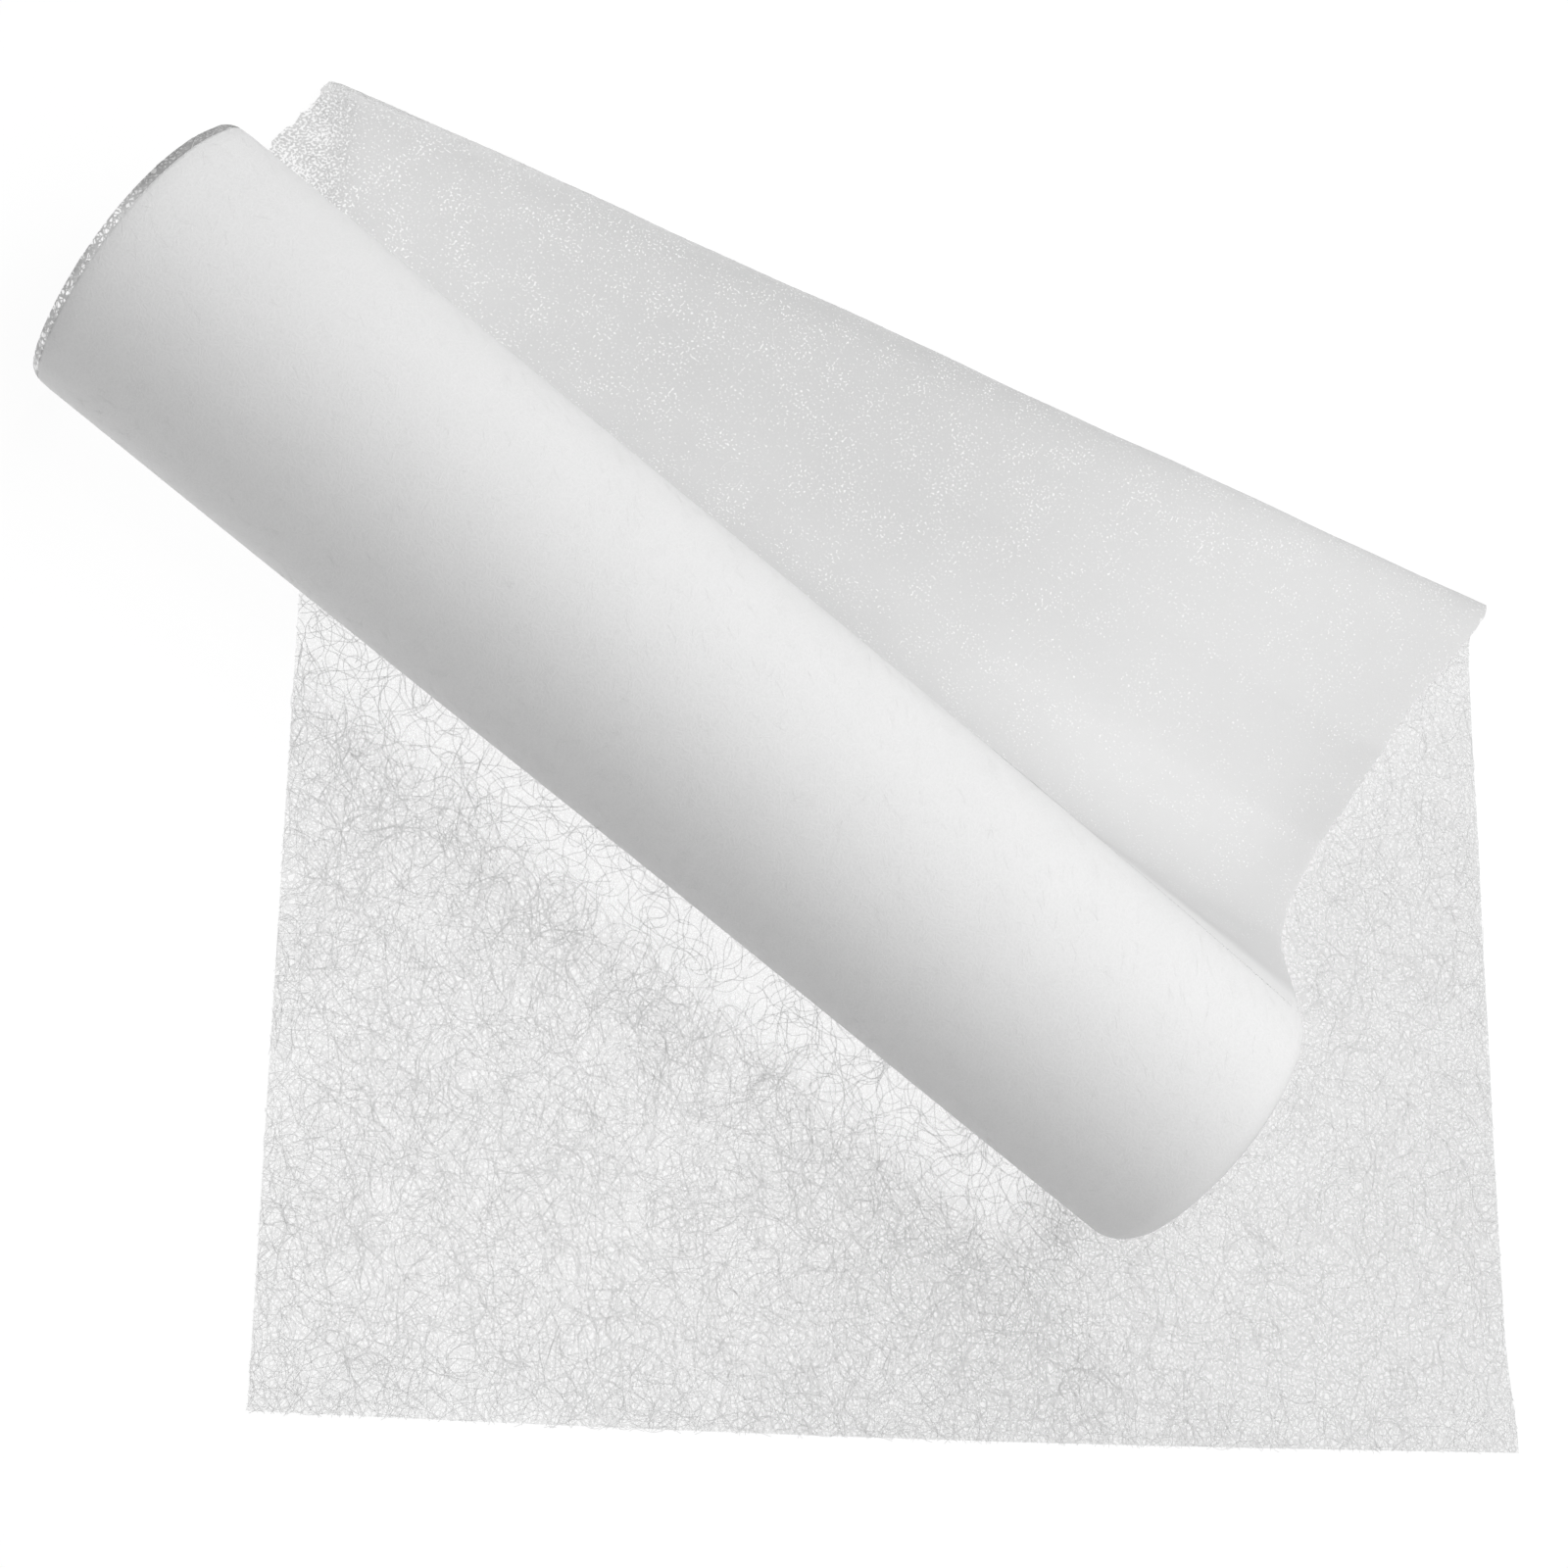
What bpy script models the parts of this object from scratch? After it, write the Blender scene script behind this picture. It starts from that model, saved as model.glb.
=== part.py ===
"""Roll of fusible interfacing, with its loose end turned back under it.

The roll lies along X. Its last turn runs over the top, parts from the roll on the +Y side, falls to
the table, runs out along +Y, turns over in an open slanting loop and comes back beneath the roll to
the cut end. Metres, +Z up. The origin is on the table, under the middle of the roll's axis.
"""

import math

import bmesh
import bpy
from mathutils import Vector

# Driving dimensions.
ROLL_LENGTH = 0.3048
ROLL_START = -0.1517
ROLL_RADIUS = 0.0348
WEB_WIDTH = 0.305
DRAWN_WIDTH = 0.3026
WEB_THICKNESS = 0.0011
CLEARANCE = 0.0003
FLAT_SPOT_WIDTH = 0.012
WAIST = 0.0003
SKEW = 0.0011

# The roll's ends: the last turn stands out as a thin rim at the left, and the right shoulder is soft.
RIM_REACH = 0.002
SHOULDER_RADIUS = 0.006
END_DISH = 0.0015

# Where the last turn parts from the roll, from the top towards +Y, and how widely it then bends flat.
PART_ANGLE_LEFT = math.radians(92)
PART_ANGLE_RIGHT = math.radians(51)
PART_CURVE = 1.7
BEND_RADIUS_LEFT = 0.016
BEND_RADIUS_RIGHT = 0.050

# The layer that runs out lies a little above the one beneath it, and more so at the right.
UPPER_LEVEL_LEFT = 0.0024
UPPER_LEVEL_RIGHT = 0.0046
RIPPLE = 0.0009

# The layer beneath comes back at an angle, so the loop between the two slants by half of that.
RETURN_TURN = math.radians(34.12)
CUT_END_CORNER = (0.0208, -0.1714)
LEFT_DRAWN_IN = 0.0047
RIGHT_DRAWN_IN = 0.0021
LOOP_HEIGHT_LEFT = 0.005
LOOP_HEIGHT_RIGHT = 0.0214
RISE_POWER = 1.35

# The upper layer's right edge is drawn in a little where the web starts to rise to the loop.
NECK = 0.0032
NECK_FROM_FOLD = 0.050
NECK_LENGTH = 0.024

# The cut end spreads a little at its right corner, and bows at its middle.
FLARE = 0.0022
FLARE_LENGTH = 0.018
END_BOW = 0.0013
END_BOW_LENGTH = 0.06

# The loop's section, square to the fold, from the upper layer round to the lower one.
# out: outwards along the table, and up: above the layer, both as shares of the loop's height.
LOOP_SECTION = [
    {"out": -2.40, "up": 0.62},
    {"out": -1.95, "up": 0.72},
    {"out": -1.55, "up": 0.81},
    {"out": -1.20, "up": 0.885},
    {"out": -0.98, "up": 0.93},
    {"out": -0.78, "up": 0.96},
    {"out": -0.56, "up": 0.97},
    {"out": -0.32, "up": 0.92},
    {"out": -0.10, "up": 0.77},
    {"out": 0.05, "up": 0.52},
    {"out": 0.07, "up": 0.29},
    {"out": -0.02, "up": 0.11},
    {"out": -0.20, "up": 0.02},
    {"out": -0.45, "up": 0.00},
]
TURNS_ROUND = 10

# Steps of the meshes.
ROUND_STEPS = 72
LENGTH_STEPS = 12
SHOULDER_STEPS = 4
ACROSS_STEPS = 18
DROP_STEPS = 4
BEND_STEPS = 7
RUN_STEPS = 5
RETURN_STEPS = 8

# Values that follow from these.
LEFT = -WEB_WIDTH / 2
TURN_STEP = WEB_THICKNESS + CLEARANCE
REST_LEVEL = WEB_THICKNESS + CLEARANCE
FOLD_SLANT = RETURN_TURN / 2
FOLD_ALONG = Vector((math.cos(FOLD_SLANT), math.sin(FOLD_SLANT), 0))
FOLD_OUT = Vector((-math.sin(FOLD_SLANT), math.cos(FOLD_SLANT), 0))
RETURN_ALONG = Vector((-math.sin(RETURN_TURN), math.cos(RETURN_TURN), 0))
RETURN_ACROSS = Vector((math.cos(RETURN_TURN), math.sin(RETURN_TURN), 0))
CUT_CORNER = Vector((*CUT_END_CORNER, 0))
UNDER_TURN = (math.pi + (PART_ANGLE_LEFT + PART_ANGLE_RIGHT) / 2) / math.tau
UNDER_RADIUS = ROLL_RADIUS - TURN_STEP * UNDER_TURN
AXIS_HEIGHT = REST_LEVEL + math.sqrt(UNDER_RADIUS**2 - (FLAT_SPOT_WIDTH / 2) ** 2)

WHITE_WEB = {"colour": (0.86, 0.86, 0.86, 1.0), "roughness": 0.75}
SHEER_WEB = {"colour": (0.80, 0.80, 0.80, 1.0), "roughness": 0.8}


def mix(low, high, share):
    return low + (high - low) * share


def clear_scene():
    for obj in list(bpy.data.objects):
        bpy.data.objects.remove(obj)


def make_material(name, look):
    material = bpy.data.materials.new(name)
    material.use_nodes = True
    shader = material.node_tree.nodes["Principled BSDF"]
    shader.inputs["Base Color"].default_value = look["colour"]
    shader.inputs["Roughness"].default_value = look["roughness"]
    shader.inputs["Metallic"].default_value = 0.0
    return material


def finish_object(name, bm, material):
    """The bmesh as a named object, with its faces pointing outwards."""
    bmesh.ops.recalc_face_normals(bm, faces=bm.faces)
    mesh = bpy.data.meshes.new(name)
    bm.to_mesh(mesh)
    bm.free()
    mesh.materials.append(material)
    mesh.shade_smooth()
    mesh.set_sharp_from_angle(angle=math.radians(40))
    obj = bpy.data.objects.new(name, mesh)
    bpy.context.scene.collection.objects.link(obj)
    return obj


def share_along(x):
    """0 at the web's left edge and 1 at its right edge."""
    return min(max((x - LEFT) / DRAWN_WIDTH, 0.0), 1.0)


def part_angle(share):
    """Where the last turn leaves the roll: low at the left, and ever higher towards the right."""
    return mix(PART_ANGLE_LEFT, PART_ANGLE_RIGHT, share**PART_CURVE)


def axis_y(share):
    """The roll lies a little askew, with its left end towards -Y."""
    return -SKEW * (1 - share)


def turn_radius(turned, share):
    """The spiral's radius: full where the web leaves, and one web less a whole turn further in."""
    waist = WAIST * math.sin(math.pi * share)
    return ROLL_RADIUS - waist - TURN_STEP * turned / math.tau


def roll_ring(bm, x, shape_x, inset):
    """One closed ring of the wound form, drawn in by inset all round."""
    share = share_along(shape_x)
    leave = part_angle(share)
    ring = []
    for step in range(ROUND_STEPS + 1):
        turned = math.tau * step / ROUND_STEPS
        radius = turn_radius(turned, share) - inset
        angle = leave - turned
        height = AXIS_HEIGHT + radius * math.cos(angle)
        point = (x, axis_y(share) + radius * math.sin(angle), max(height, REST_LEVEL))
        ring.append(bm.verts.new(point))
    edges = [bm.edges.new(pair) for pair in zip(ring, ring[1:])]
    return edges + [bm.edges.new((ring[-1], ring[0]))]


def roll_rings():
    """The rings from the left end's centre, over the rim and the shoulder, to the right end's centre."""
    left, right = ROLL_START, ROLL_START + ROLL_LENGTH
    dish = left + RIM_REACH + END_DISH
    rings = [
        {"x": dish, "shape_x": left, "inset": ROLL_RADIUS * 0.6},
        {"x": left + RIM_REACH, "shape_x": left, "inset": 0.0016},
        {"x": left + 0.0002, "shape_x": left, "inset": 0.0011},
        {"x": left, "shape_x": left, "inset": 0.0004},
        {"x": left + 0.0006, "shape_x": left, "inset": 0.0},
    ]
    start, end = left + RIM_REACH, right - SHOULDER_RADIUS
    for step in range(LENGTH_STEPS + 1):
        x = mix(start, end, step / LENGTH_STEPS)
        rings.append({"x": x, "shape_x": x, "inset": 0.0})
    for step in range(1, SHOULDER_STEPS + 1):
        bend = math.radians(80) * step / SHOULDER_STEPS
        x = end + SHOULDER_RADIUS * math.sin(bend)
        inset = SHOULDER_RADIUS * (1 - math.cos(bend))
        rings.append({"x": x, "shape_x": right, "inset": inset})
    rings.append({"x": right, "shape_x": right, "inset": ROLL_RADIUS * 0.6})
    return rings


def make_wound_roll(material):
    bm = bmesh.new()
    loops = [roll_ring(bm, **ring) for ring in roll_rings()]
    for first, second in zip(loops, loops[1:]):
        bmesh.ops.bridge_loops(bm, edges=first + second)
    for loop in (loops[0], loops[-1]):
        bmesh.ops.triangle_fill(bm, edges=loop, use_beauty=True)
    return finish_object("wound_roll", bm, material)


def upper_level(share):
    return mix(UPPER_LEVEL_LEFT, UPPER_LEVEL_RIGHT, share)


def drop_path(share):
    """Points (y, z) of the web's middle from the roll's side down to the upper layer's level."""
    angle = part_angle(share)
    level = upper_level(share)
    radius = turn_radius(0, share) - WEB_THICKNESS / 2
    middle = Vector((axis_y(share), AXIS_HEIGHT))
    start = middle + radius * Vector((math.sin(angle), math.cos(angle)))
    along = Vector((math.cos(angle), -math.sin(angle)))
    corner_reach = (start.y - level) / math.sin(angle)
    bend_radius = mix(BEND_RADIUS_LEFT, BEND_RADIUS_RIGHT, share)
    bend_reach = bend_radius * math.tan(angle / 2)
    straight = corner_reach - bend_reach
    path = []
    for step in range(DROP_STEPS):
        path.append(start + along * mix(CLEARANCE, straight, step / DROP_STEPS))
    corner = start + along * corner_reach
    centre = Vector((corner.x + bend_reach, level + bend_radius))
    for step in range(BEND_STEPS + 1):
        turn = angle * (1 - step / BEND_STEPS)
        path.append(centre + bend_radius * Vector((-math.sin(turn), -math.cos(turn))))
    return path


def ripple(share, run):
    """A low swell of the upper layer, which fades at both ends of its run."""
    swell = 0.55 + 0.45 * math.sin(7.3 * share + 2.1 * run + 0.6)
    return RIPPLE * swell * math.sin(math.pi * run)


def neck(share, y):
    """How far the upper layer's edge is drawn in at this distance from the fold."""
    reach = (fold_place(share).y - y - NECK_FROM_FOLD) / NECK_LENGTH
    return Vector((-NECK * math.exp(-reach * reach) * share**4, 0, 0))


def loop_section(share):
    """Points (out, z) of the loop's section at this place along the fold."""
    height = mix(LOOP_HEIGHT_LEFT, LOOP_HEIGHT_RIGHT, share)
    section = []
    for number, row in enumerate(LOOP_SECTION):
        base = upper_level(share) if number < TURNS_ROUND else WEB_THICKNESS / 2
        section.append(Vector((row["out"] * height, mix(base, height, row["up"]))))
    return section


def cut_point(share):
    return CUT_CORNER + RETURN_ACROSS * (WEB_WIDTH * share)


def fold_place(share):
    """Where the line of the upper layer would meet that of the lower one, if both stayed flat."""
    foot = cut_point(share)
    length = (LEFT + DRAWN_WIDTH * share - foot.x) / RETURN_ALONG.x
    drawn_in = Vector((0, mix(LEFT_DRAWN_IN, RIGHT_DRAWN_IN, share), 0))
    return foot + RETURN_ALONG * length - drawn_in


def loop_path(share):
    """The web's middle round the loop. It moves along the fold as it goes, as a slanting web does."""
    section = loop_section(share)
    travelled = [0.0]
    for first, second in zip(section, section[1:]):
        travelled.append(travelled[-1] + (second - first).length)
    flat_out = (travelled[-1] + section[0].x + section[-1].x) / 2
    fold = fold_place(share)
    path = []
    for point, travel in zip(section, travelled):
        along = (travel - (flat_out - section[0].x)) * math.tan(FOLD_SLANT)
        place = fold + FOLD_OUT * (point.x - flat_out) + FOLD_ALONG * along + Vector((0, 0, point.y))
        path.append(place + neck(share, place.y))
    return path


def return_point(share, loop_end, remaining):
    """A point of the lower layer: remaining is 1 where it leaves the loop and 0 at the cut end."""
    foot = cut_point(share) + Vector((0, 0, WEB_THICKNESS / 2))
    length = (loop_end - foot).length * remaining
    flare = FLARE * math.exp(-((length / FLARE_LENGTH) ** 2)) * share**6
    near_end = max(0.0, 1 - length / END_BOW_LENGTH)
    bow = END_BOW * math.sin(math.pi * share) * near_end
    return mix(foot, loop_end, remaining) + RETURN_ACROSS * flare - RETURN_ALONG * bow


def web_path(share):
    """The web's middle from the roll to the cut end, as points along one lengthwise line."""
    x = LEFT + DRAWN_WIDTH * share
    path = [Vector((x, y, z)) for y, z in drop_path(share)]
    loop = loop_path(share)
    run_start, run_end = path[-1], loop[0]
    for step in range(1, RUN_STEPS):
        run = step / RUN_STEPS
        place = mix(run_start, Vector((x, run_end.y, 0)), run)
        place.z = mix(run_start.z, run_end.z, run**RISE_POWER) + ripple(share, run)
        path.append(place + neck(share, place.y))
    path += loop
    loop_end = path[-1]
    for step in range(1, RETURN_STEPS + 1):
        path.append(return_point(share, loop_end, (1 - step / RETURN_STEPS) ** 1.15))
    return path


def make_loose_end(material):
    paths = [web_path(step / ACROSS_STEPS) for step in range(ACROSS_STEPS + 1)]
    along_steps = len(paths[0]) - 1
    bm = bmesh.new()
    bmesh.ops.create_grid(bm, x_segments=ACROSS_STEPS, y_segments=along_steps, size=0.5)
    for vert in bm.verts:
        across = round((vert.co.x + 0.5) * ACROSS_STEPS)
        along = round((vert.co.y + 0.5) * along_steps)
        vert.co = paths[across][along]
    web = finish_object("loose_end", bm, material)
    thick = web.modifiers.new("Thickness", "SOLIDIFY")
    thick.thickness = WEB_THICKNESS
    thick.offset = 0.0
    thick.use_even_offset = True
    return web


def main():
    clear_scene()
    make_wound_roll(make_material("white_web", WHITE_WEB))
    make_loose_end(make_material("sheer_web", SHEER_WEB))


main()
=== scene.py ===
"""A roll of fusible interfacing: the wound web, its loose end and the fibres they are made of.

The loose end is worked out as one flat web, measured in metres across its width and along its
length from the cut end, and laid on a form that follows the fall from the roll, the run over the
table, the slanting loop and the way back beneath the roll. The fibres are drawn on the same web.
"""

import math

import bmesh
import bpy
import numpy as np
from bpy.props import FloatProperty, FloatVectorProperty, IntProperty, PointerProperty
from mathutils import Matrix, Vector


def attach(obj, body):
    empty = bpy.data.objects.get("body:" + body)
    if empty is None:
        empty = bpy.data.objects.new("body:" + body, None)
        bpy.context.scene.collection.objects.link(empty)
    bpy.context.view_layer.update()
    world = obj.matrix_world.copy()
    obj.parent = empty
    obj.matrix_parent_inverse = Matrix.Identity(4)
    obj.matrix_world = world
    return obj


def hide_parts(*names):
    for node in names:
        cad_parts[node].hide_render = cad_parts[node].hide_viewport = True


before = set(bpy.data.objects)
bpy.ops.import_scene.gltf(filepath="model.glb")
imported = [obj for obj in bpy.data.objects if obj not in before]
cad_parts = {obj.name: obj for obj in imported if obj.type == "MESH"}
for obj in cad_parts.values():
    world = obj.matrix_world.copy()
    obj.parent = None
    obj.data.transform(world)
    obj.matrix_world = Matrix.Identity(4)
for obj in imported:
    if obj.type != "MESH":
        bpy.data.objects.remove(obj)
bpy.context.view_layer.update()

bl_info = {
    "name": "Interfacing Roll",
    "version": (1, 0, 0),
    "blender": (4, 5, 0),
    "location": "3D View > Sidebar > Interfacing",
    "description": "Builds a roll of nonwoven interfacing with its loose end turned back under it",
    "category": "Object",
}

MILLIMETRE = 0.001
# Colour of the rim's far side: painted shade for the shaded end face seen through the lace.
RIM_PAINTED_SHADE = (0.42, 0.42, 0.42)
MERGE_DISTANCE = 0.00001
HELD_LIFT = 0.00005
# Where the lower layer and its fibres are painted darker along X: painted shade towards +X, where
# more light falls on them.
RIGHT_PAINTED_SHADE = (0.05, 0.16)
# Steps that scatter starts evenly over a plane, as shares of its sides.
EVEN_STEPS = (0.7548777, 0.5698403)
# Shares of a strand's bend that a step keeps and that it draws anew.
BEND_KEPT = 0.72
BEND_NEW = 0.70
SHORTEST_STRAND = 4
FAINT_SHINE = 0.15
WHITE = (1.0, 1.0, 1.0, 1.0)

# The loop's section, square to the fold, from the upper layer round to the lower one.
# out: outwards along the table, and up: above the layer, both as shares of the loop's height.
LOOP_SECTION = [
    {"out": -2.40, "up": 0.62},
    {"out": -1.95, "up": 0.72},
    {"out": -1.55, "up": 0.81},
    {"out": -1.20, "up": 0.885},
    {"out": -0.98, "up": 0.93},
    {"out": -0.78, "up": 0.96},
    {"out": -0.56, "up": 0.97},
    {"out": -0.32, "up": 0.92},
    {"out": -0.10, "up": 0.77},
    {"out": 0.05, "up": 0.52},
    {"out": 0.07, "up": 0.29},
    {"out": -0.02, "up": 0.11},
    {"out": -0.20, "up": 0.02},
    {"out": -0.45, "up": 0.00},
]
TURNS_ROUND = 10

# The soft lights stand in an arc over the roll.
# lean: from overhead towards +Y, in degrees, share: of all their power, and shift: towards +X.
SOFT_LIGHTS = [
    {"lean": -15, "share": 0.31, "shift": 0.45},
    {"lean": 5, "share": 0.21, "shift": 0.18},
    {"lean": 20, "share": 0.29, "shift": 0.13},
    {"lean": 40, "share": 0.22, "shift": 0.13},
]

# The camera, set up as the photograph was taken.
CAMERA_PLACE = Vector((-0.0414, -0.2373, 0.5722))
CAMERA_LOOK = Vector((0.1185, 0.3999, -0.9088))
CAMERA_UP = Vector((-0.6306, 0.7373, 0.2422))
FOCAL_IN_PIXELS = 2741.4
IMAGE_SIDE = 1600
SENSOR_SIDE = 36.0


def metres(name, description, default):
    return FloatProperty(name=name, description=description, default=default, unit="LENGTH")


def degrees(name, description, default):
    value = math.radians(default)
    return FloatProperty(name=name, description=description, default=value, subtype="ANGLE")


def factor(name, description, default):
    return FloatProperty(name=name, description=description, default=default, unit="NONE")


def grey(name, description, value):
    return FloatVectorProperty(
        name=name, description=description, default=(value, value, value), size=3, subtype="COLOR")


class RollSizes(bpy.types.PropertyGroup):
    """Sizes of the wound roll."""

    start: metres("Left end", "Where the rim of the last turn starts along X", -0.1517)
    length: metres("Length", "From the rim at the left to the soft right end", 0.3048)
    radius: metres("Radius", "Radius where the web leaves the roll", 0.0347)
    sink: metres("Sink", "How much smaller the radius is on the far side of the turn", 0.0008)
    axis_height: metres("Axis height", "Height of the roll's axis above the table", 0.03469)
    rest: metres("Rest", "Height of the flat spot that the roll lies on", 0.0009)
    skew: metres("Skew", "How far the left end lies towards -Y", 0.0011)
    rim_reach: metres("Rim", "How far the last turn stands out at the left end", 0.0013)
    droop: metres("Droop", "How far the left end's edge is rounded inwards", 0.0016)
    droop_length: metres("Droop length", "How far along the roll that rounding reaches", 0.0045)
    rim_bow: metres(
        "Rim bow", "How far the rim is drawn in low down and bows out higher up", 0.0011)
    shoulder: metres("Shoulder", "Radius of the soft right shoulder", 0.0065)
    turn_pitch: metres("Turn pitch", "Spacing of the turns that show on the roll's ends", 0.0013)


class WebSizes(bpy.types.PropertyGroup):
    """Sizes of the loose end."""

    width: metres("Width", "Width of the web", 0.305)
    drawn_width: metres("Drawn width", "Width of the layer that hangs from the roll", 0.3026)
    part_left: degrees(
        "Parts at left", "Where the web leaves the roll at the left, from the top", 92)
    part_right: degrees(
        "Parts at right", "Where the web leaves the roll at the right, from the top", 51)
    part_curve: factor(
        "Part curve", "How late along the roll the web starts to leave higher up", 1.7)
    bend_left: metres("Bend at left", "Radius of the bend onto the table at the left", 0.016)
    bend_right: metres("Bend at right", "Radius of the bend onto the table at the right", 0.050)
    level_left: metres("Level at left", "Height of the upper layer at the left", 0.0024)
    level_right: metres("Level at right", "Height of the upper layer at the right", 0.0046)
    lower_level: metres("Lower level", "Height of the lower layer", 0.00055)
    ripple: metres("Ripple", "Height of the swells in the upper layer", 0.0009)
    return_turn: degrees("Return turn", "Angle at which the lower layer comes back", 34.12)
    corner: FloatVectorProperty(
        name="Cut corner", description="Left corner of the cut end on the table",
        default=(0.0208, -0.1714), size=2, subtype="XYZ")
    left_drawn_in: metres("Left drawn in", "How far the fold's left end is drawn in", 0.0044)
    right_drawn_in: metres("Right drawn in", "How far the fold's right end is drawn in", 0.0013)
    fold_bow: metres("Fold bow", "How far the fold bows outwards between its ends", 0.0010)
    rise_power: factor("Rise", "How late the upper layer starts to rise to the loop", 1.35)
    neck: metres("Neck", "How far the upper layer's right edge is drawn in", 0.0032)
    neck_from_fold: metres("Neck place", "Distance of the neck from the fold", 0.050)
    neck_length: metres("Neck length", "How far the neck reaches along the edge", 0.024)
    loop_left: metres("Loop at left", "Height of the loop at the left", 0.005)
    loop_right: metres("Loop at right", "Height of the loop at the right", 0.0214)
    flare: metres("Flare", "Spread of the cut end's right corner", 0.0022)
    flare_length: metres("Flare length", "How far up the edge the flare reaches", 0.018)
    end_bow: metres("End bow", "Bow of the cut end at its middle", 0.0013)
    end_bow_length: metres("End bow length", "How far up the web the bow reaches", 0.06)
    edge_drawn_in: metres(
        "Edge drawn in", "How far the upper layer's left edge has drawn in", 0.0008)
    held_length: metres("Held length", "Length of web that still lies on the roll", 0.014)
    held_shown: metres("Held and shown", "How much of that length can be told from the roll", 0.003)


class FibreSizes(bpy.types.PropertyGroup):
    """Sizes and numbers of the drawn fibres."""

    width: metres("Width", "Width of a strand of fibre", 0.00015)
    stride: metres("Stride", "Length of one straight piece of a strand", 0.0009)
    web_count: IntProperty(
        name="Web strands", description="Strands scattered for each piece of the web's fibres",
        default=7200, min=1)
    roll_count: IntProperty(
        name="Roll strands", description="Strands on the roll's surface", default=5200, min=1)
    rim_count: IntProperty(
        name="Rim strands", description="Strands along the roll's left rim", default=260, min=1)
    overshoot: metres("Overshoot", "How far a strand may stand out past a cut edge", 0.0009)
    seed: IntProperty(name="Seed", description="Start of the random numbers", default=41)


class FinishLooks(bpy.types.PropertyGroup):
    """Colours of the web and the table."""

    roll: grey("Roll", "White of many layers", 0.87)
    web: grey("Web", "White of one layer at its lightest", 0.84)
    web_deep: grey("Deep web", "White of one layer at its darkest", 0.56)
    # Strands low in the web are painted darker than the top ones: painted shade.
    fibre_dark: grey("Deep fibre", "Fibres low in the web", 0.62)
    fibre_light: grey("Top fibre", "Fibres on top of the web", 0.82)
    # Strength of the glow painted into small holes: painted light for the table shining through
    # them.
    painted_hole_glow: factor("Light in holes", "How brightly the table shows through small holes", 0.50)
    table: grey("Table", "The pale lit table", 0.95)


class StageSizes(bpy.types.PropertyGroup):
    """The table and the lights."""

    table_side: metres("Table side", "Side of the pale table", 40.0)
    table_glow: factor("Table glow", "Light that comes up through the table", 0.93)
    table_shade: factor("Table shade", "Share of the light that the table throws back", 0.10)
    light_power: FloatProperty(
        name="Light", description="Power of all the soft lights together", default=13.4,
        unit="POWER")
    light_size: metres("Light size", "Side of each soft light", 0.9)
    light_distance: metres("Light distance", "Distance of the soft lights", 1.1)
    sky: factor("Sky", "Strength of the even light from all round", 0.07)


PROPERTY_GROUPS = {
    "interfacing_roll": RollSizes,
    "interfacing_web": WebSizes,
    "interfacing_fibre": FibreSizes,
    "interfacing_finish": FinishLooks,
    "interfacing_stage": StageSizes,
}


def mix(low, high, share):
    return low + (high - low) * share


def ease(low, high, value):
    """0 below low, 1 above high and smooth between, for numbers and arrays."""
    share = np.clip((value - low) / (high - low), 0.0, 1.0)
    return share * share * (3 - 2 * share)


def shaded(colour, share):
    """A colour made darker or lighter."""
    return [min(value * share, 1.0) for value in colour]


def smooth_curve(points, per_span=6):
    """A smooth curve through the points, with this many steps from one to the next."""
    padded = np.vstack([2 * points[0] - points[1], points, 2 * points[-1] - points[-2]])
    step = np.linspace(0, 1, per_span, endpoint=False)[:, None]
    spans = []
    for a, b, c, d in zip(padded, padded[1:], padded[2:], padded[3:]):
        rise = (c - a) * step + (2 * a - 5 * b + 4 * c - d) * step**2
        spans.append(b + 0.5 * (rise + (3 * b - a - 3 * c + d) * step**3))
    return np.vstack(spans + [points[-1:]])


def lengths_along(points):
    """How far along the line each of its points lies."""
    return np.concatenate([[0.0], np.cumsum(np.linalg.norm(np.diff(points, axis=0), axis=1))])


def waves(across, along, rows):
    """A sum of slanting waves. Each row has a wave's length, heading, phase and height."""
    total = 0.0
    for row in rows:
        place = across * math.cos(row["heading"]) + along * math.sin(row["heading"])
        total = total + row["height"] * np.sin(math.tau * place / row["length"] + row["phase"])
    return total


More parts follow.
